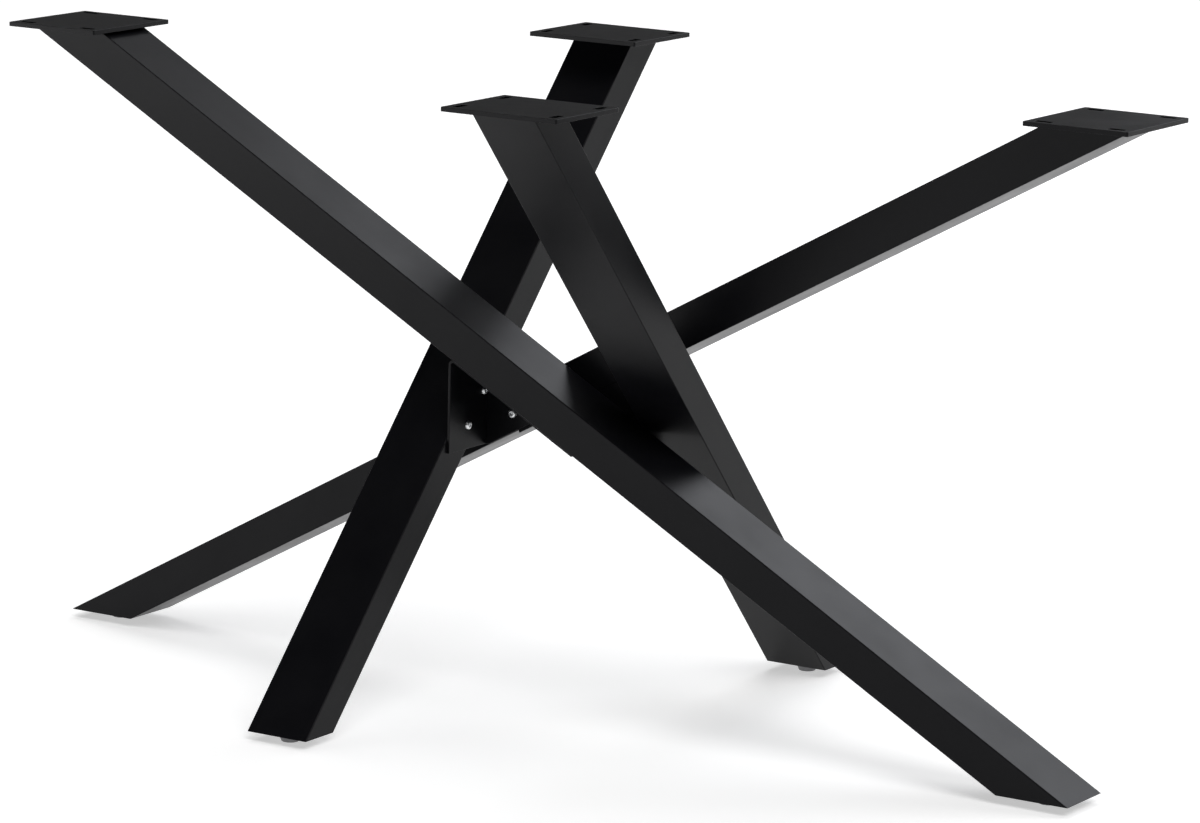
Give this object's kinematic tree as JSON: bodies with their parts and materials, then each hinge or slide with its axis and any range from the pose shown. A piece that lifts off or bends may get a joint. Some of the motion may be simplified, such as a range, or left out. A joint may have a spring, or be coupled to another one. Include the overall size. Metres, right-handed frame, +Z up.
{
  "type": "crossed table leg frame",
  "caption": "Black steel table base of slanted, tapered box legs that cross and bolt together at the middle, with slotted plates for the top and metal glides at the feet.",
  "frame": {"origin": "on the floor, under the point where the two long legs cross", "axes": "+X along the table, towards the foot of the front long leg; +Z up, out of the top plates"},
  "size_m": [1.4154, 0.724, 0.73],
  "materials": {
    "black_powder_coat": "satin powder coat",
    "nickel_plate": "bright turned nickel",
    "zinc_plate": "bright zinc",
    "plain_steel": "plain"
  },
  "bodies": {
    "root": {"button_head_screws": "zinc_plate", "corner_bracket_left": "black_powder_coat", "corner_bracket_right": "black_powder_coat", "cross_foot_plate_left": "black_powder_coat", "cross_foot_plate_right": "black_powder_coat", "cross_glide_left": "nickel_plate", "cross_glide_right": "nickel_plate", "cross_leg_left": "black_powder_coat", "cross_leg_right": "black_powder_coat", "cross_top_plate_left": "black_powder_coat", "cross_top_plate_right": "black_powder_coat", "long_foot_plate_back": "black_powder_coat", "long_foot_plate_front": "black_powder_coat", "long_glide_back": "nickel_plate", "long_glide_front": "nickel_plate", "long_leg_back": "black_powder_coat", "long_leg_front": "black_powder_coat", "long_top_plate_back": "black_powder_coat", "long_top_plate_front": "black_powder_coat", "rivet_nuts": "zinc_plate", "weld_nuts": "plain_steel"}
  },
  "joints": []
}
